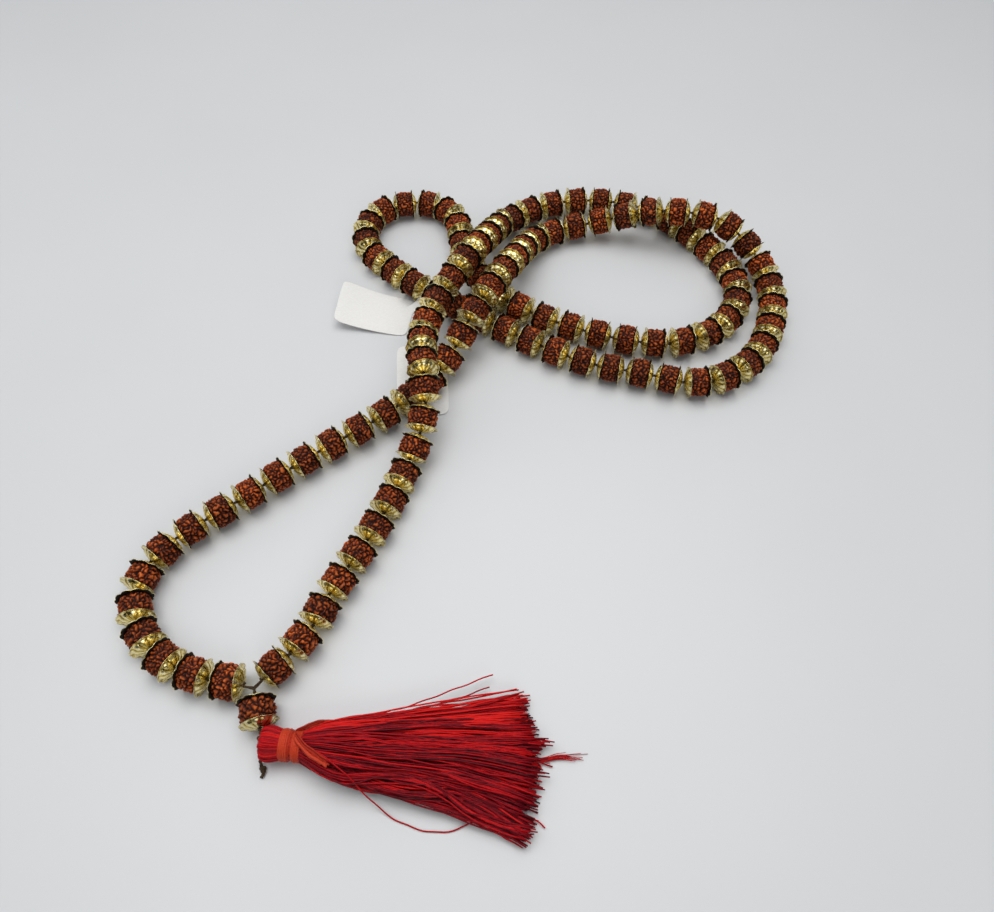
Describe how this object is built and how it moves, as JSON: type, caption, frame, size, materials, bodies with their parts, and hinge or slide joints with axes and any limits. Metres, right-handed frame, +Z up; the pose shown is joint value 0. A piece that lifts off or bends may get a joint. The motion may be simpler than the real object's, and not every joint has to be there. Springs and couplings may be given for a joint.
{
  "type": "mala prayer beads",
  "caption": "Loop of bumpy seed beads with gilt flower caps, a guru bead, a red thread tassel and a blank paper tag, laid in coils.",
  "frame": {"origin": "on the surface that the mala lies on, under the middle of its outline", "axes": "+Z up from the surface, +Y from the guru bead and tassel towards the small coil, +X to the right"},
  "size_m": [0.1948, 0.218, 0.0208],
  "materials": {
    "seed": "polished, deeply furrowed",
    "cap": "bright stamped gilt",
    "string": "waxed cord",
    "thread": "silky thread",
    "binding": "wound thread",
    "tag": "matt"
  },
  "bodies": {
    "core": {"seeds_outer_run": "seed", "caps_outer_run": "cap", "string_outer_run": "string", "seeds_lower_run": "seed", "caps_lower_run": "cap", "string_lower_run": "string", "seeds_inner_run": "seed", "caps_inner_run": "cap", "string_inner_run": "string", "seeds_back_run": "seed", "caps_back_run": "cap", "string_back_run": "string", "tag_back": "tag", "tag_loop": "tag"},
    "front_near": {"seeds_front_near": "seed", "caps_front_near": "cap", "string_front_near": "string"},
    "front_mid": {"seeds_front_mid": "seed", "caps_front_mid": "cap", "string_front_mid": "string"},
    "front_end": {"seeds_front_end": "seed", "caps_front_end": "cap", "string_front_end": "string"},
    "guru_cord": {"string_guru": "string", "knot_guru": "string"},
    "guru_bead": {"seed_guru": "seed", "caps_guru": "cap"},
    "tassel_head": {"tassel_head": "thread", "tassel_binding": "binding", "tassel_string_end": "string"},
    "tassel_skirt": {"tassel_skirt": "thread"},
    "small_loop": {"seeds_small_loop": "seed", "caps_small_loop": "cap", "string_small_loop": "string"},
    "inner_arc": {"seeds_inner_arc": "seed", "caps_inner_arc": "cap", "string_inner_arc": "string"},
    "outer_arc": {"seeds_outer_arc": "seed", "caps_outer_arc": "cap", "string_outer_arc": "string"},
    "tag_front": {"tag_front": "tag"}
  },
  "joints": [
    {"name": "front_near_fold", "type": "hinge", "parent": "core", "child": "front_near", "pos_m": [-0.03513, 0.00701, 0.0053], "axis": [-0.9048, 0.3802, -0.1919], "range_deg": [0, 25]},
    {"name": "front_mid_fold", "type": "hinge", "parent": "front_near", "child": "front_mid", "pos_m": [-0.0712, -0.02016, 0.0048], "axis": [-0.953, 0.303, 0], "range_deg": [0, 25]},
    {"name": "front_end_fold", "type": "hinge", "parent": "front_mid", "child": "front_end", "pos_m": [-0.09059, -0.05581, 0.0048], "axis": [-0.9876, -0.1572, 0], "range_deg": [0, 20]},
    {"name": "guru_swing", "type": "hinge", "parent": "front_end", "child": "guru_cord", "pos_m": [-0.0577, -0.0726, 0.0048], "axis": [-0.9585, -0.2851, 0], "range_deg": [-20, 20]},
    {"name": "guru_spin", "type": "hinge", "parent": "guru_cord", "child": "guru_bead", "pos_m": [-0.05599, -0.07835, 0.0048], "axis": [0.2851, -0.9585, 0], "continuous": true},
    {"name": "tassel_swing", "type": "hinge", "parent": "guru_cord", "child": "tassel_head", "pos_m": [-0.05405, -0.08486, 0.0048], "axis": [0, 0, 1], "range_deg": [-50, 3]},
    {"name": "tassel_lift", "type": "hinge", "parent": "tassel_head", "child": "tassel_skirt", "pos_m": [-0.04519, -0.08684, 0.0047], "axis": [-0.0872, -0.9962, 0], "range_deg": [0, 20]},
    {"name": "small_loop_fold", "type": "hinge", "parent": "core", "child": "small_loop", "pos_m": [-0.03554, 0.07241, 0.0048], "axis": [0.8719, 0.4897, 0], "range_deg": [0, 20]},
    {"name": "inner_arc_fold", "type": "hinge", "parent": "core", "child": "inner_arc", "pos_m": [0.02163, 0.04673, 0.0048], "axis": [-0.9972, -0.0746, 0], "range_deg": [0, 20]},
    {"name": "outer_arc_fold", "type": "hinge", "parent": "core", "child": "outer_arc", "pos_m": [0.09288, 0.05719, 0.0048], "axis": [-0.9407, -0.3392, 0], "range_deg": [0, 20]},
    {"name": "tag_lift", "type": "hinge", "parent": "core", "child": "tag_front", "pos_m": [-0.02162, 0.06089, 0.0048], "axis": [-0.8034, 0.5955, 0], "range_deg": [0, 60]}
  ]
}
